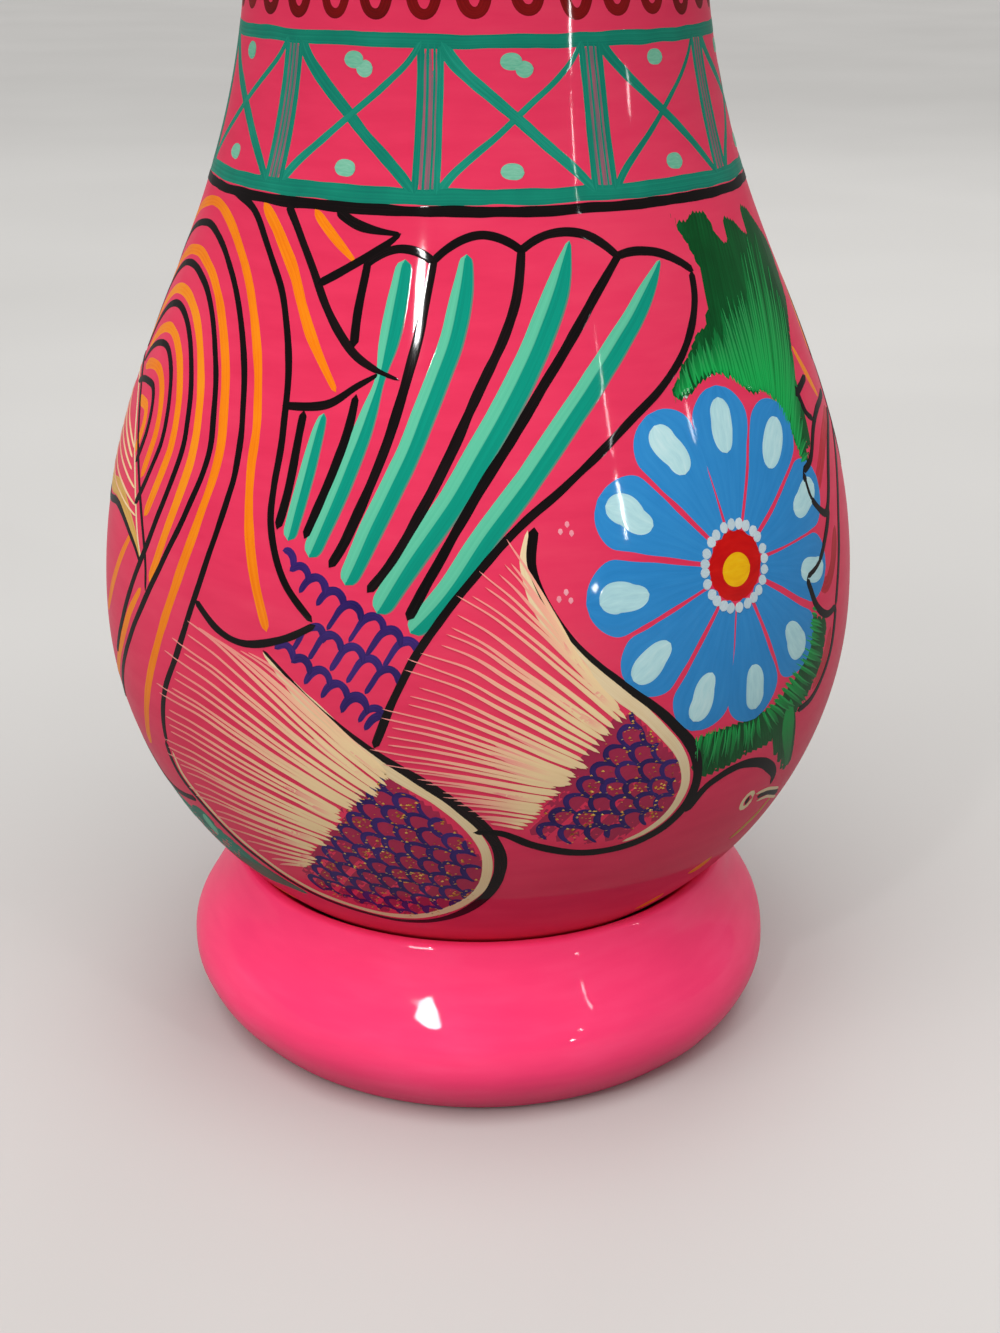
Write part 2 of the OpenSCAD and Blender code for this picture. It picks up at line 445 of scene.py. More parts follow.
def clayTree():
    tree, given, result = newTree("turned clay", [
        ("Turn Steps", "Int"), ("Inset", "Float"), ("Lump", "Float"), ("Lump Scale", "Float"),
        ("Seed", "Float"), ("Flat Below", "Float"), ("Calm From", "Float"), ("Calm To", "Float"),
        ("Material", "Material")])
    rows = addNode(tree, "GeometryNodeAttributeDomainSize", {
        "Geometry": given["Geometry"]}, component="CURVE").outputs["Point Count"]
    grid = firstOut(tree, "GeometryNodeMeshGrid", {
        "Size X": 1.0, "Size Y": 1.0, "Vertices X": plus(tree, given["Turn Steps"], 1), "Vertices Y": rows})
    flat = apart(tree, position(tree))
    climb = plus(tree, flat["Y"], 0.5)
    turn = times(tree, plus(tree, flat["X"], 0.5), 2 * math.pi)
    row = sums(tree, "ROUND", times(tree, climb, minus(tree, rows, 1)))
    sample = firstOut(tree, "GeometryNodeSampleIndex", {
        "Geometry": given["Geometry"], "Value": position(tree), "Index": row},
        data_type="FLOAT_VECTOR", domain="POINT")
    meridian = apart(tree, sample)
    turned = together(
        tree, X=times(tree, meridian["X"], sums(tree, "SINE", turn)),
        Y=times(tree, meridian["X"], times(tree, sums(tree, "COSINE", turn), -1.0)), Z=meridian["Z"])
    shaped = moved(tree, store(tree, grid, "climb", climb), Position=turned)
    closed = firstOut(tree, "GeometryNodeMergeByDistance", {"Geometry": shaped, "Distance": 0.01 * mm})
    lumps = noise(tree, position(tree), given["Lump Scale"], 1.0, seed=given["Seed"])
    height = apart(tree, position(tree))["Z"]
    free = ranged(tree, height, 0.0, given["Flat Below"], curve="SMOOTHSTEP")
    calm = ranged(tree, height, given["Calm From"], given["Calm To"], 1.0, 0.0, "SMOOTHSTEP")
    swing = times(tree, minus(tree, lumps, 0.5), 4.0)
    swing = sums(tree, "MINIMUM", sums(tree, "MAXIMUM", swing, -1.0), 1.0)
    swing = times(tree, times(tree, swing, given["Lump"]), calm)
    push = times(tree, minus(tree, swing, given["Inset"]), free)
    pushed = moved(tree, closed, Offset=scaled(tree, normal(tree), push))
    smooth = firstOut(tree, "GeometryNodeSetShadeSmooth", {"Geometry": pushed})
    closeTree(tree, smooth, given, result)
    return tree


def polyCurve(name, runs):
    # runs holds lists of (x, y, z, half width) in metres
    data = bpy.data.curves.new(name, "CURVE")
    data.dimensions = "3D"
    for run in runs:
        spline = data.splines.new("POLY")
        spline.points.add(len(run) - 1)
        for point, (x, y, z, half) in zip(spline.points, run):
            point.co = (x, y, z, 1.0)
            point.radius = half
    return bpy.data.objects.new(name, data)


claySetup = clayTree()


def turnClay(pieceName, run, sizes, finish):
    carrier = polyCurve(pieceName + " meridian", [[(r, 0.0, z, 1.0) for r, z in run]])
    return runTree(carrier, claySetup, {
        "Turn Steps": sizes["turnSteps"], "Inset": sizes["inset"], "Lump": sizes["lump"],
        "Lump Scale": sizes["lumpScale"], "Seed": sizes["seed"], "Flat Below": sizes["flatBelow"],
        "Calm From": sizes["calm"][0], "Calm To": sizes["calm"][1], "Material": finish}, pieceName)


vaseFinish = lacquerFinish("vase lacquer", vaseTones, vase["bare"], vaseWaves)
vaseClay = turnClay("vase_clay", vaseMeridian, vase, vaseFinish)
ringFinish = lacquerFinish("ring lacquer", ringTones, ring["bare"], ringWaves)
ringClay = turnClay("ring_clay", ringRun(), ring, ringFinish)
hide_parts("lower_bowl", "upper_belly", "neck_collar", "lip_coil")
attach(vaseClay, "vase")
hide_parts("ring_stand")
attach(ringClay, "ring")


# Brush strokes: a curve drawn on the unrolled vase is laid on the clay and given a low rounded body of paint

stroke = dict(away=0.2, shake=55.0, wander=0.9 * mm, blot=120.0, slimmest=0.04, flatTop=1.7, sink=0.25 * mm,
              bed=0.02 * mm, layer=0.02 * mm, ownNormal=0.06, golden=0.618)


def layOnClay(tree, given, clay):
    # The drawn line, shaken a little, is thrown from outside onto the clay
    soft = firstOut(tree, "GeometryNodeCurveSplineType", {
        "Curve": given["Geometry"]}, spline_type="CATMULL_ROM")
    path = firstOut(tree, "GeometryNodeResampleCurve", {
        "Curve": soft, "Length": given["Step"]}, mode="LENGTH")
    drawn = position(tree)
    shake = addNode(tree, "ShaderNodeTexNoise", {"Vector": drawn, "Scale": stroke["shake"], "Detail": 1.0})
    shift = scaled(tree, vectors(tree, "SUBTRACT", shake.outputs["Color"], (0.5, 0.5, 0.5)), given["Wander"])
    flat = apart(tree, vectors(tree, "ADD", drawn, shift))
    turn = sums(tree, "DIVIDE", flat["X"], given["Belly Radius"])
    outward = together(tree, X=sums(tree, "SINE", turn), Y=times(tree, sums(tree, "COSINE", turn), -1.0))
    start = vectors(tree, "ADD", together(tree, Z=flat["Z"]), scaled(tree, outward, stroke["away"]))
    ray = addNode(tree, "GeometryNodeRaycast", {
        "Target Geometry": clay, "Source Position": start, "Ray Direction": scaled(tree, outward, -1.0),
        "Ray Length": stroke["away"]})
    return moved(tree, path, Position=ray.outputs["Hit Position"])


def strokeWidth(tree, given):
    # Half the width, rounded off at both ends and uneven along the way
    trail = addNode(tree, "GeometryNodeSplineParameter").outputs["Length"]
    full = addNode(tree, "GeometryNodeSplineLength").outputs["Length"]
    fromEnd = sums(tree, "MINIMUM", trail, minus(tree, full, trail))
    half = firstOut(tree, "GeometryNodeInputRadius")
    near = sums(tree, "MINIMUM", sums(tree, "DIVIDE", fromEnd, times(tree, half, given["Tip"])), 1.0)
    rounding = sums(tree, "SQRT", minus(tree, 1.0, sums(tree, "POWER", minus(tree, 1.0, near), 2.0)))
    blot = addNode(tree, "ShaderNodeTexNoise", {
        "Vector": position(tree), "Scale": stroke["blot"], "Detail": 1.0}).outputs["Fac"]
    sway = times(tree, minus(tree, blot, 0.5), given["Unevenness"])
    slim = times(tree, half, sums(tree, "MAXIMUM", rounding, stroke["slimmest"]))
    return times(tree, slim, plus(tree, 1.0, sway))


def strokeSection(tree, given):
    # A loop pressed flat, which remembers how far across and how high each of its points was
    circle = firstOut(tree, "GeometryNodeCurvePrimitiveCircle", {
        "Resolution": given["Section Steps"], "Radius": 1.0})
    loop = apart(tree, position(tree))
    marked = store(tree, circle, "across", loop["X"])
    marked = store(tree, marked, "rise", loop["Y"])
    return moved(tree, marked, Position=together(tree, Y=loop["X"]))


def brushTree():
    tree, given, result = newTree("brush strokes", [
        ("Clay", "Object"), ("Belly Radius", "Float"), ("Step", "Float"), ("Section Steps", "Int"),
        ("Tip", "Float"), ("Lift", "Float"), ("Wander", "Float"), ("Unevenness", "Float"), ("Seed", "Int"),
        ("Material", "Material")])
    clay = addNode(tree, "GeometryNodeObjectInfo", {"Object": given["Clay"]}).outputs["Geometry"]

    def ofClay(value):  # a value of the clay at its nearest spot
        return firstOut(tree, "GeometryNodeSampleNearestSurface", {
            "Mesh": clay, "Value": value, "Sample Position": position(tree)}, data_type="FLOAT_VECTOR")

    def stored(name):
        return firstOut(tree, "GeometryNodeInputNamedAttribute", {"Name": name}, data_type="FLOAT")

    line = firstOut(tree, "GeometryNodeSetCurveNormal", {
        "Curve": layOnClay(tree, given, clay), "Normal": ofClay(normal(tree))}, mode="FREE")
    which = addNode(tree, "GeometryNodeCurveOfPoint").outputs["Curve Index"]
    luck = addNode(tree, "FunctionNodeRandomValue", {"ID": which, "Seed": given["Seed"]}, data_type="FLOAT")
    order = sums(tree, "FRACT", times(tree, which, stroke["golden"]))  # neighbours never lie at one height
    along = addNode(tree, "GeometryNodeSplineParameter").outputs["Factor"]
    for name, value in (("along", along), ("strength", luck.outputs[1]), ("order", order)):
        line = store(tree, line, name, value)
    paint = firstOut(tree, "GeometryNodeCurveToMesh", {
        "Curve": line, "Profile Curve": strokeSection(tree, given), "Scale": strokeWidth(tree, given),
        "Fill Caps": True})
    paint = firstOut(tree, "GeometryNodeFlipFaces", {"Mesh": paint})
    top = sums(tree, "MAXIMUM", stored("rise"), 0.0)
    top = sums(tree, "MINIMUM", times(tree, top, stroke["flatTop"]), 1.0)
    bottom = times(tree, sums(tree, "MINIMUM", stored("rise"), 0.0), stroke["sink"])
    body = times(tree, plus(tree, stored("order"), stored("along")), stroke["layer"])
    lift = times(tree, top, plus(tree, given["Lift"], body))
    lift = plus(tree, lift, minus(tree, bottom, stroke["bed"]))
    raised = vectors(tree, "ADD", ofClay(position(tree)), scaled(tree, ofClay(normal(tree)), lift))
    paint = moved(tree, paint, Position=raised)
    uv = together(tree, X=stored("along"), Y=plus(tree, times(tree, stored("across"), 0.5), 0.5))
    paint = store(tree, paint, "strokeUV", uv, "FLOAT2", "CORNER")
    paint = firstOut(tree, "GeometryNodeSetShadeSmooth", {"Geometry": paint})
    blended = vectors(tree, "ADD", scaled(tree, ofClay(normal(tree)), 1 - stroke["ownNormal"]),
                      scaled(tree, normal(tree), stroke["ownNormal"]))
    paint = firstOut(tree, "GeometryNodeSetMeshNormal", {
        "Mesh": paint, "Custom Normal": vectors(tree, "NORMALIZE", blended)}, mode="FREE", domain="POINT")
    closeTree(tree, paint, given, result)
    return tree


brushSetup = brushTree()
strokes = {}  # paint name to a list of strokes, each a list of (angle, height, half width)
degreeMm = 1.5  # about how many mm one degree is on the belly


def brush(paint, points, width, side=0):
    # points are (degrees round from the front, mm above the floor), width is in mm or one value a point
    widths = width if isinstance(width, (list, tuple)) else [width] * len(points)
    strokes.setdefault(paint, []).append([(a + side, z, w / 2) for (a, z), w in zip(points, widths)])


def aside(centre, right, up):
    # A point some mm to the right of a centre and above it, measured on the clay
    angle, height = centre
    return angle + math.degrees(right * mm / radiusAt((height + up) * mm)), height + up


def runAt(points, share):
    # A point part of the way along a run, counted by its points
    spot = min(max(share, 0.0), 1.0) * (len(points) - 1)
    i = min(int(spot), len(points) - 2)
    return tuple(a + (b - a) * (spot - i) for a, b in zip(points[i], points[i + 1]))


def turnBy(side, points):
    return [(a + side, z) for a, z in points]


def holds(outline, point):
    # Whether a closed outline goes round a point
    inside = False
    for (a0, z0), (a1, z1) in zip(outline, outline[1:] + outline[:1]):
        if (z0 > point[1]) != (z1 > point[1]):
            if point[0] < a0 + (a1 - a0) * (point[1] - z0) / (z1 - z0):
                inside = not inside
    return inside


neck = dict(
    cells=10, firstBar=-10, top=239.5, middle=225, foot=211,
    line=2.9, lowLine=3.4, blackDrop=3.0, blackLine=2.2, barWash=4.4,
    bar=((-2.3, 1.5), (-0.6, 0.6), (0.7, 0.5), (2.2, 1.4)),  # offset in degrees and width of each bar line
    falling=(2.7, 2.6, 2.4, 2.1, 1.7), rising=(2.0, 1.7, 1.4, 1.2, 1.0),
    dots=((235.4, 2.0), (215.2, 1.2)),  # height of each dot in a cell, and how far it may sway
    scallops=32, scallopLine=2.3)


def paintNeck():
    allRound = spread(178, 540, 60)  # the ends meet at the back
    top, mid, foot, cell = neck["top"], neck["middle"], neck["foot"], 360 / neck["cells"]
    brush("teal_band", [(a, top) for a in allRound], neck["line"])
    brush("teal_band", [(a, foot - 0.3) for a in allRound], neck["lowLine"])
    brush("black_lines", [(a, foot - neck["blackDrop"]) for a in allRound], neck["blackLine"])
    for k in range(neck["cells"]):
        bar = neck["firstBar"] + cell * k
        brush("bar_wash", [(bar, top - 0.5), (bar + 0.2, mid), (bar, foot)], neck["barWash"])
        for offset, width in neck["bar"]:
            a = bar + offset + rng.uniform(-0.2, 0.2)
            brush("teal_band", [(a, top), (a + 0.2, mid), (a, foot)], width)
        left, right, middle = bar + 2.8, bar + cell - 2.8, bar + cell / 2
        full = rng.uniform(0.85, 1.15)
        brush("teal_band", [(left - 0.6, top), (left + 3.4, 234.6), (middle, 225.3), (right - 3.6, 215.4),
                            (right + 0.6, foot)], [full * w for w in neck["falling"]])
        brush("teal_band", [(left - 0.6, foot), (left + 3.6, 215.8), (middle, 225.1), (right - 3.4, 234.4),
                            (right + 0.6, top)], [full * w for w in neck["rising"]])
        for height, sway in neck["dots"]:
            a = middle + rng.uniform(-sway, sway)
            dot = [(a - 2.4, height), (a, height + 0.2), (a + 2.4, height - 0.1)]
            brush("mint_dots", dot, [2.6, 3.4, 3.0])
            if height > mid and k % 9 == 0:  # some of the upper ones were dabbed twice
                dot = [(a + 0.8, height - 1.2), (a + 2.8, height - 1.3), (a + 4.8, height - 1.1)]
                brush("mint_dots", dot, [2.6, 3.5, 2.8])
    for k in range(neck["scallops"]):
        a = 360 / neck["scallops"] * k + rng.uniform(-0.8, 0.8)
        drop = rng.uniform(-0.6, 0.6)
        hung = [(a - 3, 248.5), (a - 1.9, 245.6), (a, 244.6), (a + 1.9, 245.4), (a + 3, 248.3)]
        brush("scallops", [(a - 3, 252.5)] + [(b, z + drop) for b, z in hung] + [(a + 3.2, 252.5)],
              neck["scallopLine"])


hair = dict(stops=(0.22, 0.42, 0.65, 0.85, 1), thin=0.24, widths=(0.48, 0.76, 0.94, 1.12, 0.85),
            shortWidths=(0.5, 1.5, 1.3), crossing=0.3, dense=0.6, sparse=0.2)


def paintHairs(side, tuft):
    # Dry-brushed hairs from thin starts to full ends, bowed a little upwards
    for i in range(tuft["hairs"]):
        share = (i + rng.uniform(-0.25, 0.25)) / (tuft["hairs"] - 1)
        (a0, z0), (a1, z1) = runAt(tuft["starts"], share), runAt(tuft["ends"], share)
        over = rng.uniform(-0.02, 0.05)
        a1, z1 = a1 + (a1 - a0) * over, z1 + (z1 - z0) * over
        bow = tuft["bow"] * (1 - 0.7 * share) * min(abs(a1 - a0) / 30, 1) + rng.uniform(-0.3, 0.3)

        def at(t):
            return a0 + (a1 - a0) * t, z0 + (z1 - z0) * t + bow * math.sin(math.pi * max(t, 0) ** 0.7)

        full = rng.uniform(0.85, 1.2) * (1.1 - 0.35 * share) * tuft["thick"]
        length = math.hypot((a1 - a0) * degreeMm, z1 - z0)
        crossing = rng.random() < hair["crossing"]  # some hairs begin on the far side of the outline
        first = (rng.uniform(-3.8, -1.0) if crossing else rng.uniform(0.8, 2.4)) / length
        brush("cream_hairs", [at(t) for t in (first, *hair["stops"])],
              [hair["thin"]] + [w * full for w in hair["widths"]], side)
        for _ in range(tuft["closing"]):  # short strokes that close up the cream at the full ends
            start = rng.uniform(0.55, 0.85)
            slip = rng.uniform(-0.6, 0.6) * (1 - share)
            short = [(a + slip, z + slip) for a, z in (at(start), at((start + 1) / 2), at(1))]
            if rng.random() < (hair["dense"] if share < 0.2 or 0.42 < share < 0.62 else hair["sparse"]):
                brush("cream_hairs", short, hair["shortWidths"], side)


plume = dict(
    hub=(-68, 157), leftReach=15,
    black=dict(up=(9.0, 8.5), reach=(4.6, 6.4), start=(-45, -8), curls=(0.09, 0.105, 0.07, 0.08, 0.046),
               ends=(150, 142, 104, 90, 120), width=1.7),
    orange=dict(up=(4.5, 8.2), reach=(2.3, 5.95), start=(-20, -14), curls=(0.09, 0.07, 0.08, 0.055, 0.051),
                ends=(151, 148, 141, 128, 84), width=2.6),
    lastArch=(47.5, 33, -75, -0.045, 126), lastWidth=2.4, lineWidth=1.7,
    lines=(
        [(-60, 208), (-50, 205.5), (-43, 199), (-36, 190), (-32, 178), (-30.5, 165), (-30.5, 155), (-30, 147),
         (-27, 137), (-22.5, 129.5)],
        [(-42.5, 128.5), (-38, 124), (-33, 122.5), (-27, 125), (-22, 129)],
        [(-44.3, 122.5), (-47.2, 113), (-50.5, 104), (-52.5, 96), (-53.5, 90)]),
    points=(
        ([(-40, 207.5), (-36, 203), (-31, 196), (-27, 189.5), (-21.5, 182.5), (-17, 179), (-12.3, 177)],
         [1.8, 1.8, 1.8, 1.8, 1.8, 1.5, 0.5]),
        ([(-15.5, 178), (-19, 175.5), (-24, 171.5), (-31.5, 170.2)], [0.8, 1.5, 1.8, 1.7]),
        ([(-28, 207.2), (-22, 204.5), (-14.3, 203.6)], [1.9, 1.9, 0.8]),
        ([(-14.3, 203.8), (-17, 201.5), (-21, 198.8), (-29.5, 193.2)], [0.8, 1.6, 1.9, 1.8])),
    barbs=(
        ([(-47, 207), (-41, 202), (-35, 195), (-29, 184), (-22.5, 174)], [2.2, 2.8, 2.8, 2.4, 1.2]),
        ([(-33, 207), (-28, 202.5), (-22.5, 198)], [2.0, 2.2, 0.9]),
        ([(-61.5, 135.5), (-66, 127), (-71, 117), (-75, 111)], [1.4, 2.4, 2.6, 2.2]),
        ([(-56.5, 125.5), (-61, 117), (-66, 107), (-71, 99), (-75, 95)], [1.4, 2.4, 2.6, 2.6, 2.2])))
blade = dict(
    outline=[(-55, 125.5), (-55.5, 131), (-57.5, 138), (-61.8, 147.5), (-68.3, 157), (-75, 163.8), (-82, 167),
             (-90, 166), (-95.5, 161), (-97.5, 152.5), (-95.5, 143), (-90, 138), (-80, 136.5), (-72, 138.5),
             (-66, 137.5), (-60, 134), (-57, 130.5)],
    outlineWidth=[0.8, 1.0, 1.1, 1.1, 1.1, 1.2, 1.3, 1.5, 1.7, 1.8, 1.8, 1.8, 1.8, 1.8, 1.7, 1.4, 0.9],
    rim=[(-57, 131.5), (-59, 136), (-63, 146), (-69, 155), (-75, 161.5), (-82, 164.5), (-90, 163.5)],
    rimWidth=[0.4, 0.6, 0.7, 0.7, 0.7, 0.7, 0.5],
    ochre=[(-57.5, 132), (-61, 136.5), (-66, 140), (-72, 141.5), (-80, 140), (-90, 141)],
    ochreWidth=[1.2, 2.6, 3.6, 4.0, 4.0, 3.0],
    starts=[(-92, 161), (-94.5, 152), (-92, 143.5)], ends=[(-68, 152.5), (-64.5, 146), (-61.5, 139.5)],
    bow=0.5, hairs=6, closing=0, thick=0.5)


def archPoints(up, reach, first, curl, end):
    # Up and over the hub from the left, then down on its right
    hubA, hubZ = plume["hub"]
    wide = max(reach, plume["leftReach"])
    arch = [(hubA + (wide if t < 0 else reach) * math.sin(math.radians(t)),
             hubZ + up * math.cos(math.radians(t))) for t in spread(first, 0, 3) + [20, 40, 60, 77]]
    return arch + [(hubA + reach - curl * (hubZ - z) ** 1.4, z) for z in spread(hubZ, end, 6)]


def paintPlume(side):
    for paint, rows in (("black_lines", plume["black"]), ("orange_strokes", plume["orange"])):
        for k, (curl, end) in enumerate(zip(rows["curls"], rows["ends"])):
            up, reach, first = (rows[key][0] + rows[key][1] * k for key in ("up", "reach", "start"))
            brush(paint, archPoints(up, reach, first, curl, end), rows["width"], side)
    brush("orange_strokes", archPoints(*plume["lastArch"]), plume["lastWidth"], side)
    for points in plume["lines"]:
        brush("black_lines", points, plume["lineWidth"], side)
    for paint, key in (("black_lines", "points"), ("orange_strokes", "barbs")):
        for points, widths in plume[key]:
            brush(paint, points, widths, side)
    brush("black_lines", blade["outline"], blade["outlineWidth"], side)
    brush("cream_rims", blade["rim"], blade["rimWidth"], side)
    brush("ochre_lines", blade["ochre"], blade["ochreWidth"], side)
    paintHairs(side, blade)


fan = dict(
    feathers=(
        ([(-27, 145.2), (-26, 153), (-25, 161.5), (-24.4, 167), (-24, 170)], [3.4, 3.8, 3.6, 2.8, 1.4]),
        ([(-23.5, 142.5), (-20.8, 153), (-18, 164.5), (-16.6, 171), (-15.4, 177), (-14.6, 183.5),
          (-13.8, 191), (-13, 199)],
         [4.2, 4.9, 4.7, 3.6, 2.3, 4.3, 4.6, 3.4]),
        ([(-18, 138), (-14.8, 149), (-11, 161), (-7.3, 174), (-4.2, 184.5), (-2.7, 193), (-2, 200.3)],
         [4.4, 5.2, 5.2, 5.2, 5.2, 4.6, 2.4]),
        ([(-13.6, 133), (-9.5, 143), (-4, 154.5), (1.5, 166.5), (7, 178), (12.4, 190), (15, 196.5),
          (17, 202.3)],
         [4.8, 5.8, 6.0, 6.2, 6.2, 5.8, 4.2, 0.8]),
        ([(-9, 129.5), (-4.5, 137), (1, 148.5), (7.5, 159.8), (14.2, 170.5), (21.8, 180.5), (28.5, 189),
          (32, 193.5), (35, 197.3)],
         [4.6, 5.4, 5.7, 5.7, 5.6, 5.4, 4.6, 3.2, 0.8])),
    dividers=(
        [(-27.5, 170), (-28, 155), (-29, 147)],
        [(-19, 174), (-20, 165), (-23, 152), (-24.5, 146)],
        [(-20, 198.6), (-20.7, 190), (-20.5, 182.5)],
        [(-7.8, 200), (-10.5, 181), (-14, 163), (-18, 148), (-20.5, 141)],
        [(8, 202), (6, 190), (0, 175), (-5, 161), (-11, 145), (-15, 137)],
        [(27, 199.8), (20, 191), (10, 176), (0, 157), (-6, 142), (-9.5, 132)]),
    valleys=((-20.5, 197.3), (-8, 198.5), (7.8, 200.5), (26, 198.5), (42, 194.3)),
    crowns=(3.0, 4.2, 4.4, 2.6), lineWidth=1.8,
    edge=[(42, 194.3), (40.8, 188.5), (37, 181.5), (30, 174), (22, 167), (12, 157), (5, 149.5), (-2, 138.5),
          (-7, 128), (-11, 116), (-14, 104)])


def paintFan(side):
    for points, widths in fan["feathers"]:
        brush("feather_strokes", points, widths, side)
    for points in fan["dividers"]:
        brush("black_lines", points, [1.7] + [2.1] * (len(points) - 1), side)
    for (a0, z0), (a1, z1), crown in zip(fan["valleys"], fan["valleys"][1:], fan["crowns"]):
        bow = [(a0 + (a1 - a0) * t, z0 + (z1 - z0) * t + crown * math.sin(math.pi * min(max(t, 0), 1)) ** 0.7)
               for t in (-0.03, 0.12, 0.3, 0.5, 0.7, 0.88, 1.03)]
        brush("black_lines", bow, fan["lineWidth"], side)
    brush("black_lines", fan["edge"], fan["lineWidth"], side)


lobes = (
    dict(outline=[(-30, 122), (-22, 112), (-15, 104), (-8, 97), (-3, 91), (1, 84), (3, 76), (2, 67), (-2, 59),
                  (-8, 53.5), (-15, 51.5), (-22, 52.3), (-28, 54), (-32.5, 56.3), (-36.5, 59.4), (-40, 63),
                  (-44, 67.3), (-47.5, 72), (-50.5, 76.5), (-53, 80.5), (-54, 85), (-53.8, 90)],
         outlineWidth=[0.8, 0.9, 1.4, 2.6, 2.8, 2.8, 2.8, 2.7, 2.4, 1.9, 1.5, 1.3, 1.3, 1.3, 1.3, 1.3, 1.3,
                       1.3, 1.4, 1.5, 1.6, 1.6],
         rim=[(-30, 121.5), (-22, 110.5), (-13, 99.8), (-6, 92.3), (-1.4, 85), (0.9, 77), (0.4, 68),
              (-3.2, 61), (-9, 55.8), (-15, 53.7), (-22.3, 54.2), (-30, 57), (-35.3, 60.8), (-39, 64.6),
              (-43, 69), (-46.6, 73.6), (-49.6, 78), (-52, 82.3), (-52.6, 88)],
         rimWidth=[0.7, 3.8, 3.4, 2.5, 2.3, 2.3, 2.3, 2.2, 2.1, 1.9, 1.6, 1.4, 1.3, 1.2, 1.1, 1.0, 0.9, 0.9,
                   0.6],
         starts=[(-33, 120.5), (-39, 121), (-44.5, 123.5), (-45.5, 117), (-47.5, 112), (-49.5, 106),
                 (-51, 102), (-52, 96), (-52.6, 91), (-52.4, 86), (-51, 81.5), (-48, 77), (-44.5, 72.5),
                 (-40.5, 68), (-36.5, 63.8)],
         ends=[(-13.5, 99.5), (-13, 98), (-14, 95), (-15, 93.5), (-16.5, 92), (-18, 90), (-19, 88),
               (-20.5, 86), (-21.5, 83), (-22, 81), (-23.5, 78.5), (-24.5, 76), (-26.5, 73), (-27, 70),
               (-29, 67.5)],
         bow=5.0, hairs=34, closing=1, thick=1.0,
         tip=[(-12.5, 98.5), (-9, 93.5), (-6, 90), (-4, 86), (-1.5, 81), (0.3, 76), (0.8, 72), (0.3, 67.5),
              (-2, 61.5), (-5, 57), (-9, 54.8), (-13, 53.8), (-17, 54.2), (-22, 56), (-27, 58), (-31, 61),
              (-30, 66), (-28, 70), (-26.5, 73.5), (-24, 78), (-22, 82.5), (-20, 86.5), (-17.5, 90.5),
              (-14.5, 95)],
         tipEdge=((-13, 97), (-28.5, 66)), tipDepth=48, scale=dict(wide=4.6, tall=3.1)),
    dict(outline=[(7.5, 150), (7, 143), (9, 135), (13, 126), (19, 117), (25, 109), (30, 100), (32, 92),
                  (31.5, 85), (28.5, 79.5), (24, 76.5), (18.5, 75.6), (13, 76.7), (7.5, 80), (3, 83.5),
                  (-1, 84)],
         outlineWidth=[2.2, 2.0, 1.3, 1.3, 1.7, 2.1, 2.5, 2.7, 2.6, 2.5, 2.3, 2.2, 2.1, 2.0, 1.8, 1.4],
         rim=[(6.6, 149.5), (5.9, 143), (7.8, 135), (11.6, 126.5), (17.4, 117), (23, 108.5), (27.9, 99.5),
              (29.9, 92), (29.6, 86.5), (27.8, 82), (24.8, 79), (21.5, 77.6)],
         rimWidth=[0.6, 1.5, 2.6, 3.6, 3.4, 2.8, 2.3, 2.3, 2.2, 2.0, 1.5, 0.6],
         starts=[(4.5, 146), (2.5, 143), (0, 139.5), (-2.5, 136), (-5, 130), (-7, 125), (-8.5, 120),
                 (-10, 114.5), (-12, 110), (-13, 105.5), (-12, 101.5), (-9.5, 98), (-7, 95), (-4.5, 92),
                 (-2, 89), (0, 86.5)],
         ends=[(13, 123), (16, 116.5), (19, 110.5), (17, 107), (16, 104), (14, 101), (12.5, 98), (11.5, 96.5),
               (10.5, 95), (9.5, 92), (8.5, 90), (7.5, 87.5), (6, 84.5)],
         bow=4.0, hairs=37, closing=1, thick=1.0,
         tip=[(20.3, 111), (24, 104.3), (27, 99.5), (28.6, 96), (29.2, 91.5), (28.8, 87), (27, 83),
              (24, 80), (21, 78.3), (14, 78.6), (8, 82), (6, 84.5), (7.5, 88.5), (9, 91.5), (11, 96),
              (13.5, 100.5), (15.5, 104.5), (18, 109)],
         tipEdge=((20.5, 110.5), (8, 84)), tipDepth=42, scale=dict(wide=4.5, tall=3.3)))
scales = dict(  # a scale's places along and away from its row, and its widths in mm
    arch=((-0.5, 1.42), (-0.49, 1.05), (-0.42, 0.58), (-0.24, 0.16), (0, 0), (0.24, 0.16), (0.42, 0.58),
          (0.49, 1.05), (0.5, 1.42)),
    widths=(0.65, 0.9, 1.15, 1.5, 1.6, 1.5, 1.15, 0.9, 0.65),
    rowGap=1.45, fewest=5)
tips = dict(slant=40, gap=2.0, width=3.4, specks=120, across=(-30, 30), heights=(55, 113))
throat = dict(
    outline=[(-29.5, 146), (-22, 143), (-13, 137), (-6, 131), (-8, 124), (-14, 106.5), (-22, 113.5),
             (-29.5, 122.5), (-27, 124.8), (-22, 129.3), (-26.5, 137)],
    rows=(((-27, 143), (-9, 128), 8), ((-22, 129), (-11.5, 122), 5), ((-26.5, 124), (-13.5, 113), 6),
          ((-20, 113.5), (-16.5, 110.5), 2), ((-16.2, 114.5), (-12.8, 111.5), 2)),
    arch=((-5.3, -5.8), (-3.9, -3.5), (-2.5, -1.25), (-1.0, -0.1), (0.55, -0.1), (1.7, -1.4), (1.8, -3.3)),
    widths=(1.2, 1.3, 1.6, 1.9, 1.9, 1.8, 1.5))


def spreadPairs(start, finish, count):
    return [tuple(a + (b - a) * k / (count - 1) for a, b in zip(start, finish)) for k in range(count)]


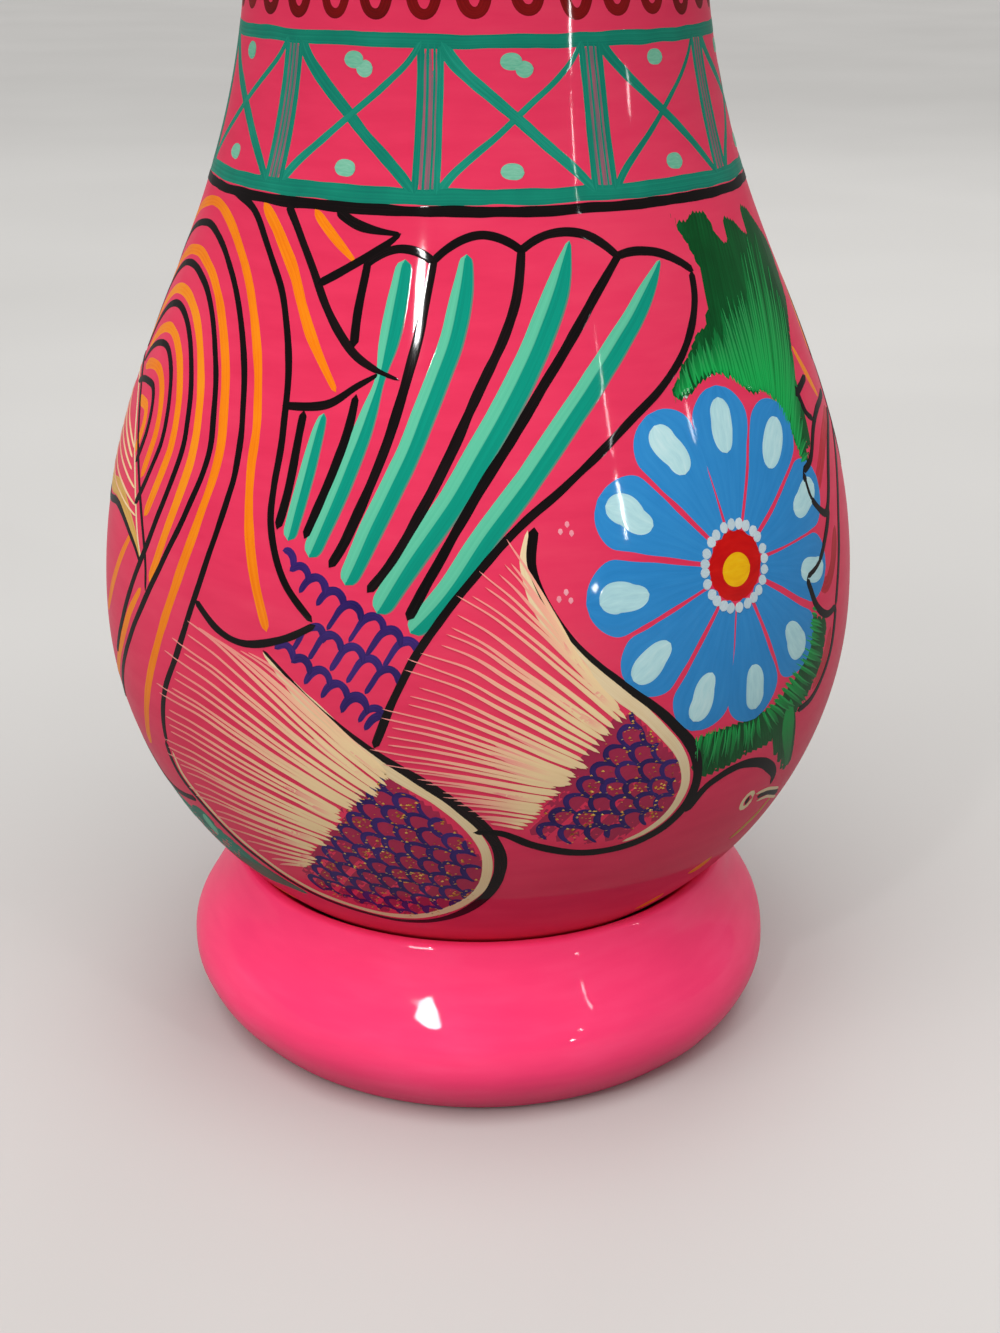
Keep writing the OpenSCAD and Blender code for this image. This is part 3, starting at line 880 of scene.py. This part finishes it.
def patchFrame(edge):
    # A place u mm along an edge and v mm away from it, as angle and height
    (a0, z0), (a1, z1) = edge
    length = math.hypot((a1 - a0) * degreeMm, z1 - z0)
    ux, uy = (a1 - a0) * degreeMm / length, (z1 - z0) / length
    return length, lambda u, v: (a0 + (u * ux - v * uy) / degreeMm, z0 + u * uy + v * ux)


def speck(side, a, z):
    half = rng.uniform(0.09, 0.24)
    brush("gold_specks", [(a - half, z), (a, z + 0.1), (a + half, z)], half * 2.4, side)


def scalePatch(side, lobe):
    # Rows of small arches, like fish scales, that fill the lobe's tip from its upper edge
    size, rowGap = lobe["scale"], scales["rowGap"]
    length, at = patchFrame(lobe["tipEdge"])
    for row in range(int(lobe["tipDepth"] / size["tall"] / rowGap) + 1):
        for col in range(-3, int(length / size["wide"]) + 4):
            u = (col + 0.5 * (row % 2)) * size["wide"] + rng.uniform(-0.4, 0.4)
            v = row * size["tall"] * rowGap + rng.uniform(-0.3, 0.3)
            arch = [(at(u + du * size["wide"], v + dv * size["tall"]), w)
                    for (du, dv), w in zip(scales["arch"], scales["widths"])]
            kept = [(p, w * rng.uniform(0.85, 1.15)) for p, w in arch if holds(lobe["tip"], p)]
            if len(kept) < scales["fewest"]:
                continue
            points, widths = zip(*kept)
            brush("purple_scales", points, widths, side)
            for _ in range(rng.randint(0, 9)):  # glitter caught in the wet lines
                a, z = runAt(points, rng.random())
                speck(side, a + rng.gauss(0, 0.4), z + rng.gauss(0, 0.6))
            for _ in range(rng.choice((0, 0, 3, 9))):
                a, z = at(u + rng.gauss(0, 0.9), v + size["tall"] + rng.gauss(0, 0.9))
                if holds(lobe["tip"], (a, z)):
                    speck(side, a, z)


def fillOutline(paint, side, outline, slant, gap, width):
    # Strokes laid side by side, leaning by slant degrees, that fill an outline
    c, s = math.cos(math.radians(slant)), math.sin(math.radians(slant))
    turned = [(a * degreeMm * c - z * s, a * degreeMm * s + z * c) for a, z in outline]
    low, high = min(turned)[0], max(turned)[0]
    for u in spread(low + gap / 3, high - gap / 3, int((high - low) / gap)):
        hits = sorted(v0 + (v1 - v0) * (u - u0) / (u1 - u0)
                      for (u0, v0), (u1, v1) in zip(turned, turned[1:] + turned[:1]) if (u0 > u) != (u1 > u))
        for v0, v1 in zip(hits[::2], hits[1::2]):
            run = [((u * c + v * s) / degreeMm, v * c - u * s) for v in spread(v0, max(v1, v0 + 0.8), 5)]
            brush(paint, run, width, side)


def paintLobes(side):
    for lobe in lobes:
        brush("black_lines", lobe["outline"], lobe["outlineWidth"], side)
        brush("cream_rims", lobe["rim"], lobe["rimWidth"], side)
        paintHairs(side, lobe)
        fillOutline("tip_wash", side, lobe["tip"], tips["slant"], tips["gap"], tips["width"])
        scalePatch(side, lobe)
        for _ in range(tips["specks"]):
            a, z = rng.uniform(*tips["across"]), rng.uniform(*tips["heights"])
            if holds(lobe["tip"], (a, z)):
                speck(side, a, z)
    for start, finish, count in throat["rows"]:
        for a, z in spreadPairs(start, finish, count):
            apex = (a + side + rng.uniform(-0.3, 0.3), z + rng.uniform(-0.3, 0.3))
            arch = [(aside(apex, x, y), w * rng.uniform(0.9, 1.1))
                    for (x, y), w in zip(throat["arch"], throat["widths"])]
            kept = [(p, w) for p, w in arch if holds(turnBy(side, throat["outline"]), p)]
            if len(kept) > 3:
                brush("purple_scales", *zip(*kept))


daisy = dict(
    centre=(38, 136.7), petals=11, firstTurn=18.5, inner=7.0, outer=36.2,
    gap=0.35, slimmest=0.8, fullest=1.22, spotStops=(22.5, 26, 29.5, 33.5), spotWidths=(4.0, 5.8, 6.6, 6.0),
    beads=24, beadR=8.6, beadWidths=(2.0, 2.5, 2.2), disc=7.4, heart=3.9)


def paintDaisy(side):
    centre = (daisy["centre"][0] + side, daisy["centre"][1])
    step = 360 / daisy["petals"]

    def ray(turn, r, swing=0.0):
        t = math.radians(turn)
        return aside(centre, r * math.cos(t) - swing * math.sin(t), r * math.sin(t) + swing * math.cos(t))

    for k in range(daisy["petals"]):
        turn = daisy["firstTurn"] + step * k + rng.uniform(-1.5, 1.5)
        reach = daisy["outer"] + rng.uniform(-1.2, 0.6)
        stops = spread(daisy["inner"], reach, 5)
        halves = [max(r * math.tan(math.radians(step / 2)) - daisy["gap"], daisy["slimmest"]) for r in stops]
        halves[4:] = [halves[3] * daisy["fullest"]] * 2
        brush("blue_petals", [ray(turn, r) for r in stops], [2 * h for h in halves])
        size = rng.uniform(0.85, 1.1)
        swings = [rng.uniform(-0.6, 0.6) for _ in range(4)]
        brush("petal_spots", [ray(turn, r, s) for r, s in zip(daisy["spotStops"], swings)],
              [w * size for w in daisy["spotWidths"]])
    for k in range(daisy["beads"]):
        turn = 360 / daisy["beads"] * k + rng.uniform(-2, 2)
        brush("flower_beads", [ray(turn, daisy["beadR"] + r) for r in (-1.2, 0, 1.2)], daisy["beadWidths"])
    r = daisy["disc"]
    brush("red_discs", [aside(centre, x, 0.2) for x in spread(-r, r, 6)], 2 * r)
    r = daisy["heart"]
    brush("yellow_hearts", [aside(centre, x, -0.6) for x in spread(-r, r, 4)], 2 * r)


leaves = (
    dict(outline=[(31.5, 170.5), (33, 174), (35, 177.5), (37, 179.5), (40, 183), (43, 184), (43, 186),
                  (44.5, 187), (45, 193), (43, 199), (40, 205), (42.5, 204), (44.5, 204), (46.5, 205.5),
                  (50.5, 205), (51.5, 201), (54, 198), (56.5, 198.5), (57, 203), (60.5, 201.5), (63, 199),
                  (66, 198), (67, 204), (70, 203), (74, 199), (80, 194), (80, 190), (76, 182), (70, 177),
                  (64, 170), (63, 162), (61.5, 154), (58.5, 150), (57, 156), (56.5, 160.5), (56, 165),
                  (54, 167), (51.5, 169), (49.5, 168), (48, 169), (46, 172), (44, 174), (40.5, 174),
                  (37, 173), (34.5, 171)],
         slant=10, tails=(),
         roots=[(31.8, 171), (35, 172.3), (38.5, 174.3), (42, 174.5), (45, 172.5), (47.5, 170.5),
                (49.5, 169.8), (51.5, 169.5), (53, 169), (54.5, 167.5), (56, 164), (56.5, 162), (57, 158),
                (57.3, 152)],
         tips=[(32, 173), (34.5, 178), (38.5, 181), (42, 182), (45.5, 184.5), (47.5, 187), (50.5, 190),
               (55, 193.5), (60, 196.5), (66, 199), (74, 196), (72, 183), (65, 170), (60.5, 153)],
         strokes=54, wide=2.0, spikes=0.3),
    dict(outline=[(30.5, 101.5), (36, 102), (42, 102), (46, 103), (50.5, 107), (54, 111), (55, 119.5),
                  (58.5, 117), (60, 113), (59, 105), (56, 100), (52.5, 97), (55, 89.5), (57, 81), (55, 80),
                  (49, 89), (46, 95), (46, 92.5), (42, 92.5), (38, 91), (34, 90), (32.5, 91.5), (31, 94)],
         slant=-25, tails=(([(50, 102), (50.5, 97), (52.5, 90), (55.8, 81.5)], [3, 5.5, 4.5, 1.5]),),
         roots=[(30.8, 101.5), (34, 102), (38, 101), (42, 100.8), (45.5, 103.3), (49, 107), (52, 111.5),
                (54.2, 116.5), (55, 121)],
         tips=[(31, 95.5), (33.5, 91.8), (38.5, 92.5), (43, 93.5), (52, 97), (56.5, 98.5), (60, 104.5),
               (59.5, 112.5), (57, 119.5)],
         strokes=34, wide=1.3, spikes=0.0))
# Each paint of a leaf with the reach and the width of its strokes
leafCoats = (("leaf_deep", 1.0, 1.5), ("leaf_mid", 1.0, 0.9), ("leaf_light", 0.95, 0.35))


def paintLeaves(side):
    for leaf in leaves:
        fillOutline("leaf_deep", side, leaf["outline"], leaf["slant"], 1.6, 2.6)
        for points, widths in leaf["tails"]:
            brush("leaf_mid", points, widths, side)
        for paint, reach, wide in leafCoats:
            upTo = leaf["spikes"] if paint == "leaf_deep" else 1.0
            for i in range(int(leaf["strokes"] * upTo)):
                share = (i + rng.uniform(-0.3, 0.3)) / (leaf["strokes"] - 1)
                (a0, z0), (a1, z1) = runAt(leaf["roots"], share), runAt(leaf["tips"], share)
                end = reach * rng.uniform(0.6, 1.02)
                bend = rng.uniform(-0.4, 0.4)
                points = [(a0 + (a1 - a0) * end * t + bend * math.sin(math.pi * t), z0 + (z1 - z0) * end * t)
                          for t in (-0.06, 0.5, 1)]
                width = leaf["wide"] * wide * rng.uniform(0.8, 1.2)
                brush(paint, points, [width * 0.6, width, width * 0.3], side)


trims = dict(
    outlines=(
        [(57, 150), (60.5, 151.5), (65, 157), (70, 159.5), (79, 160.5)],
        [(57, 150), (58, 144), (61, 140), (63.5, 139.8), (68, 148), (73, 153), (80, 156)],
        [(53.5, 128.5), (58, 130.5), (62, 136), (64, 139.8)],
        [(53.5, 128.5), (56, 121.5), (60, 117), (64, 117)],
        [(64, 117), (66.5, 128), (70, 139), (76, 148), (82, 152)],
        [(53, 97.5), (58, 98.5), (62.5, 106), (64, 117)],
        [(61.5, 165), (64.5, 166), (69, 167)],
        [(62.5, 167), (63.5, 161), (66, 158.5)],
        [(49, 76.6), (53, 75.6), (58.5, 72)],
        [(-74, 80), (-70, 76), (-66, 72.8), (-60, 72.5), (-51.5, 75.5)]),
    head=[(31.5, 82), (34, 87), (36.5, 89), (39, 90), (42, 90), (46, 88), (49, 85), (51.5, 81.5), (52, 78.5)],
    headWidth=[2.2, 2.2, 2.2, 2.2, 2.4, 2.8, 2.8, 2.2, 1.0],
    redStrokes=(
        [(60, 144), (64, 149), (70, 154), (78, 157)],
        [(57, 127), (60, 124), (63, 127), (66, 135)],
        [(57, 100.5), (60, 105), (62, 113)]),
    ochreLines=(([(56.5, 73), (53.5, 69), (51.5, 67.5), (49.5, 66), (47.5, 65)], [0.9, 1.7, 1.8, 1.6, 0.9]),),
    paleLines=(
        ([(48, 78), (52, 77), (57.5, 74)], [0.7, 1.1, 0.8]),
        ([(49.5, 75), (53.5, 74), (59.5, 70)], [0.6, 1.0, 0.7])),
    orangeStrokes=(
        ([(67.5, 174), (70.5, 167), (73.5, 161)], [1.4, 2.6, 1.6]),
        ([(45.5, 60.5), (44, 58.5), (41, 57.5)], [2.5, 4.0, 2.5]),
        ([(39, 51), (37.5, 48), (34.5, 46.5)], [2.5, 4.5, 2.5]),
        ([(74, 42), (70, 43.5), (66, 46)], [2.6, 4.6, 3.0]),
        ([(-49.5, 48), (-47.5, 46.2), (-45, 45)], [1.5, 3.0, 1.5])),
    seaLeaves=(
        ([(-74, 71), (-66, 70), (-60, 66.5), (-55, 63.5), (-50, 61), (-45, 58), (-39, 56.5), (-34, 54.8)],
         [3, 6, 10, 16, 18, 14, 6, 2]),
        ([(-57, 66), (-53, 69), (-49.5, 69.5)], [8, 7, 5])),
    seaLights=(
        ([(-51.5, 71), (-52, 67.5), (-52, 64)], [2.5, 5, 2.5]),
        ([(-63.5, 67), (-62.5, 65), (-61.5, 63.5)], [1.5, 3, 1.5])),
    eye=(46, 77.5), dots=((12, 149), (11.5, 136)), lineWidth=1.8, redWidth=4.0, dotWidth=1.5)


def paintTrims(side):
    for points in trims["outlines"]:
        brush("black_lines", points, trims["lineWidth"], side)
    brush("black_lines", trims["head"], trims["headWidth"], side)
    for points in trims["redStrokes"]:
        brush("red_feathers", points, trims["redWidth"], side)
    for paint, key in (("ochre_lines", "ochreLines"), ("cream_rims", "paleLines"),
                       ("orange_strokes", "orangeStrokes"), ("sea_leaves", "seaLeaves"),
                       ("sea_lights", "seaLights")):
        for points, widths in trims[key]:
            brush(paint, points, widths, side)
    eye = (trims["eye"][0] + side, trims["eye"][1])
    lid = [aside(eye, 1.9 * math.cos(t), 2.1 * math.sin(t)) for t in spread(0, 2 * math.pi, 10)]
    brush("cream_rims", lid, 1.3)
    brush("black_lines", [aside(eye, 0, z) for z in (-1.2, 0, 1.2)], trims["lineWidth"])
    for a, z in trims["dots"]:
        for da, dz in ((0.1, 1.1), (-0.9, -0.2), (0.7, -0.6)):
            dot = [(a + da - 0.35, z + dz), (a + da, z + dz + 0.1), (a + da + 0.35, z + dz)]
            brush("pale_dots", dot, trims["dotWidth"], side)


paintNeck()
for side in (0, 180):
    for paintPart in (paintPlume, paintFan, paintLobes, paintDaisy, paintLeaves, paintTrims):
        paintPart(side)
print("strokes drawn", {name: len(runs) for name, runs in strokes.items()})

usual = dict(step=1.0, section=12, tip=2.0, uneven=0.5)  # what holds where a paint below says nothing else
paints = {  # lift is the height of the paint above the clay in mm, so higher ones cover lower ones
    "bar_wash": dict(finish=paintFinish("hazy wash", "#2F7A6C", "#7A6A70", "#B05A70", 14), lift=0.02),
    "teal_band": dict(finish=paintFinish("teal enamel", "#0B7564", "#10876F", "#1E9880"), lift=0.07),
    "mint_dots": dict(
        finish=paintFinish("mint enamel", "#63B898", "#7AC3A4", "#8ECDB2"), step=0.4, lift=0.12, tip=1.0),
    "scallops": dict(
        finish=paintFinish("oxblood enamel", "#5E0508", "#7C080B", "#8E1012"), step=0.7, lift=0.05),
    "leaf_deep": dict(
        finish=paintFinish("deep leaf green", "#00421A", "#005222", "#06622C"),
        lift=0.02, tip=1.4, section=16),
    "leaf_mid": dict(
        finish=fadeFinish("leaf green", "#0C9C46", "#0B7436", 8), step=1.2, lift=0.07, section=8),
    "leaf_light": dict(
        finish=fadeFinish("light leaf green", "#16B455", "#2C9450", 8),
        step=1.2, lift=0.12, tip=3.0, section=8),
    "sea_leaves": dict(
        finish=paintFinish("sea green", "#086050", "#0C7862", "#128C74"), lift=0.02, tip=1.4, section=20),
    "sea_lights": dict(finish=paintFinish("light sea green", "#5AB090", "#6AC0A0", "#7ACCB0"), lift=0.07),
    "red_feathers": dict(
        finish=paintFinish("crimson wash", "#B8182C", "#C82036", "#D83048"), lift=0.03, tip=3.0),
    "cream_hairs": dict(
        finish=fadeFinish("cream dry brush", "#FF9C94", "#FFDEAA", 6),
        step=1.2, lift=0.2, tip=4.0, section=8),
    "cream_rims": dict(
        finish=paintFinish("cream enamel", "#EBCB98", "#F2D8AA", "#F8E2BA", 12), lift=0.115, tip=3.0),
    "ochre_lines": dict(
        finish=paintFinish("ochre enamel", "#CE9636", "#DDA94C", "#EABB66"), lift=0.10, tip=3.0),
    "orange_strokes": dict(
        finish=paintFinish("orange enamel", "#F67A0A", "#FF8C10", "#FF9A1E"), lift=0.05, tip=2.5),
    "feather_strokes": dict(
        finish=twoToneFinish("mint and teal", ("#5CC29E", "#66CAA6"), ("#04907A", "#069A82")),
        step=0.8, lift=0.11, tip=1.2, section=14, uneven=0.12),
    "tip_wash": dict(
        finish=paintFinish("dark rose wash", "#AC284E", "#B02A50", "#B42C52"),
        lift=0.01, tip=0.6, section=8, uneven=0.0),
    "purple_scales": dict(
        finish=paintFinish("purple enamel", "#241450", "#341E66", "#44297A"),
        step=0.5, lift=0.07, section=8),
    "black_lines": dict(
        finish=paintFinish("black enamel", "#080405", "#100809", "#1C1012"), lift=0.13, tip=1.6),
    "blue_petals": dict(
        finish=paintFinish("blue enamel", "#2A88CC", "#308ED2", "#3694D6", 14),
        step=0.5, lift=0.06, tip=1.0, section=24, uneven=0.12),
    "petal_spots": dict(
        finish=paintFinish("pale blue enamel", "#ACDAE2", "#BEE8EC", "#D0F0F2", 7),
        step=0.4, lift=0.12, tip=1.0, section=16),
    "flower_beads": dict(
        finish=paintFinish("bead white", "#B8CEDA", "#C8DCE4", "#DCEAF0"),
        step=0.25, lift=0.17, tip=1.0, section=10),
    "red_discs": dict(
        finish=paintFinish("red enamel", "#BC0206", "#CE0406", "#DA100C"),
        step=0.4, lift=0.12, tip=1.0, section=26, uneven=0.1),
    "yellow_hearts": dict(
        finish=paintFinish("yellow enamel", "#F8B000", "#FEC002", "#FFCC1E"),
        step=0.25, lift=0.17, tip=1.0, section=22, uneven=0.12),
    "pale_dots": dict(
        finish=paintFinish("pale pink enamel", "#F58C9C", "#FA9EAC", "#FFB4BE"),
        step=0.25, lift=0.06, tip=1.0, section=8),
    "gold_specks": dict(finish=goldFinish("gold glitter"), step=0.3, lift=0.16, tip=1.0, section=6)}
for seed, (name, paint) in enumerate(paints.items()):
    paint = {**usual, **paint}
    runs = [[(math.radians(a) * vase["bellyR"], 0.0, z * mm, half * mm) for a, z, half in run]
            for run in strokes[name]]
    piece = runTree(polyCurve(name + " drawing", runs), brushSetup, {
        "Clay": vaseClay, "Belly Radius": vase["bellyR"], "Step": paint["step"] * mm,
        "Section Steps": paint["section"], "Tip": paint["tip"], "Lift": paint["lift"] * mm,
        "Wander": stroke["wander"], "Unevenness": paint["uneven"], "Seed": seed,
        "Material": paint["finish"]}, name)
    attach(piece, "vase")


# Plain pale floor, soft lights and the camera

stage = dict(
    floorHalf=8.0, floorRoughness=0.6, floorGrain=3, paleA="#C8C6C3", paleB="#CECCC9", bounce="#6E6B68",
    sky=(0.93, 0.92, 0.91, 1), skyLight=0.12, skySeen=0.45, lampAim=0.14)


def seenDirectly(tree):
    # 1 for what the camera sees, also by reflection or through something clear, and 0 for soft bounced light
    rays = addNode(tree, "ShaderNodeLightPath").outputs
    seen = sums(tree, "MAXIMUM", rays["Is Camera Ray"], rays["Is Glossy Ray"])
    return sums(tree, "MAXIMUM", seen, rays["Is Transmission Ray"])


def addFloor():
    material, tree, shader = newFinish("pale floor", stage["floorRoughness"], None)
    grain = noise(tree, place(tree), stage["floorGrain"], 2)
    pale = ramp(tree, grain, [(0.3, stage["paleA"]), (0.7, stage["paleB"])])
    tree.links.new(mixed(tree, seenDirectly(tree), tone(stage["bounce"]), pale), shader.inputs["Base Color"])
    half = stage["floorHalf"]
    corners = [(-half, -half, 0), (half, -half, 0), (half, half, 0), (-half, half, 0)]
    mesh = bpy.data.meshes.new("floor")
    mesh.from_pydata(corners, [], [(0, 1, 2, 3)])
    mesh.materials.append(material)
    floor = bpy.data.objects.new("floor", mesh)
    show(floor)


def addLamp(name, azimuth, elevation, distance, size, watts, glint, only=None, spare=None):
    # azimuth counts to the right of the camera's side, seen from above; glint lamps show in the lacquer
    a, e = math.radians(azimuth), math.radians(elevation)
    data = bpy.data.lights.new(name, "AREA")
    data.shape = "ELLIPSE"
    data.size, data.size_y = size
    data.energy = watts
    lamp = bpy.data.objects.new(name, data)
    lamp.location = (distance * math.sin(a) * math.cos(e), -distance * math.cos(a) * math.cos(e),
                     stage["lampAim"] + distance * math.sin(e))
    lamp.rotation_euler = (math.pi / 2 - e, 0, a)
    lamp.visible_glossy = glint
    show(lamp)
    if only or spare:  # it lights one piece alone, or all but one
        lit = bpy.data.collections.new(name + " lit")
        lit.objects.link(only or spare)
        lit.collection_objects[0].light_linking.link_state = "INCLUDE" if only else "EXCLUDE"
        lamp.light_linking.receiver_collection = lit


def addSun(name, azimuth, elevation, spreadAngle, strength):
    data = bpy.data.lights.new(name, "SUN")
    data.angle = math.radians(spreadAngle)
    data.energy = strength
    sun = bpy.data.objects.new(name, data)
    sun.rotation_euler = (math.pi / 2 - math.radians(elevation), 0, math.radians(azimuth))
    sun.visible_glossy = False
    show(sun)


def addWorld():
    world = bpy.data.worlds.new("studio")
    world.use_nodes = True
    tree = world.node_tree
    air = tree.nodes["Background"].inputs
    air["Color"].default_value = stage["sky"]
    level = ranged(tree, seenDirectly(tree), 0.0, 1.0, stage["skyLight"], stage["skySeen"])
    tree.links.new(level, air["Strength"])
    bpy.context.scene.world = world


view = dict(away=0.4498, up=0.2707, down=22.27, right=0.65, sensor=36, lens=52.6)  # fitted to the photograph


def addCamera():
    data = bpy.data.cameras.new("camera")
    data.sensor_width = view["sensor"]
    data.lens = view["lens"]
    camera = bpy.data.objects.new("camera", data)
    camera.location = (0, -view["away"], view["up"])
    camera.rotation_euler = (math.radians(90 - view["down"]), 0, math.radians(-view["right"]))
    show(camera)
    bpy.context.scene.camera = camera


addFloor()
addSun("daylight", -15, 74, 60, 2.5)
addLamp("key glint", -24, 34.9, 1.3, (0.06, 0.035), 1.6, True)
addLamp("right strip", 44, 14.5, 1.5, (0.025, 0.29), 1.8, True, spare=ringClay)
addLamp("neck strip", 44, 26, 1.5, (0.014, 0.22), 0.4, True, spare=ringClay)
addLamp("right spot", 33, 2, 1.5, (0.05, 0.04), 0.45, True)
addLamp("edge strip", 73, 18, 1.5, (0.03, 0.1), 0.3, True)
addLamp("key softbox", -50, 16, 1.5, (1.0, 1.0), 6.5, False)
addLamp("right softbox", 60, 40, 1.6, (1.0, 1.0), 2, False)
addLamp("back fill", 165, 40, 1.6, (1.0, 1.0), 4.5, False)
addLamp("ring glint", -26, 22, 1.3, (0.26, 0.12), 4.0, True, ringClay)
for azimuth, elevation, wide in ((34, 22, 0.03), (41, 14, 0.04), (36, 8, 0.03), (73, 12, 0.05)):
    addLamp("ring spark", azimuth, elevation, 1.5, (wide, 0.03), 0.07, True, ringClay)
addLamp("ring fill left", -70, 3, 1.5, (0.8, 0.3), 1.2, False, ringClay)
addLamp("ring fill right", 65, 3, 1.5, (0.8, 0.3), 4.2, False, ringClay)
addCamera()
addWorld()
bpy.context.scene.view_settings.view_transform = "Standard"
print("stage ready")
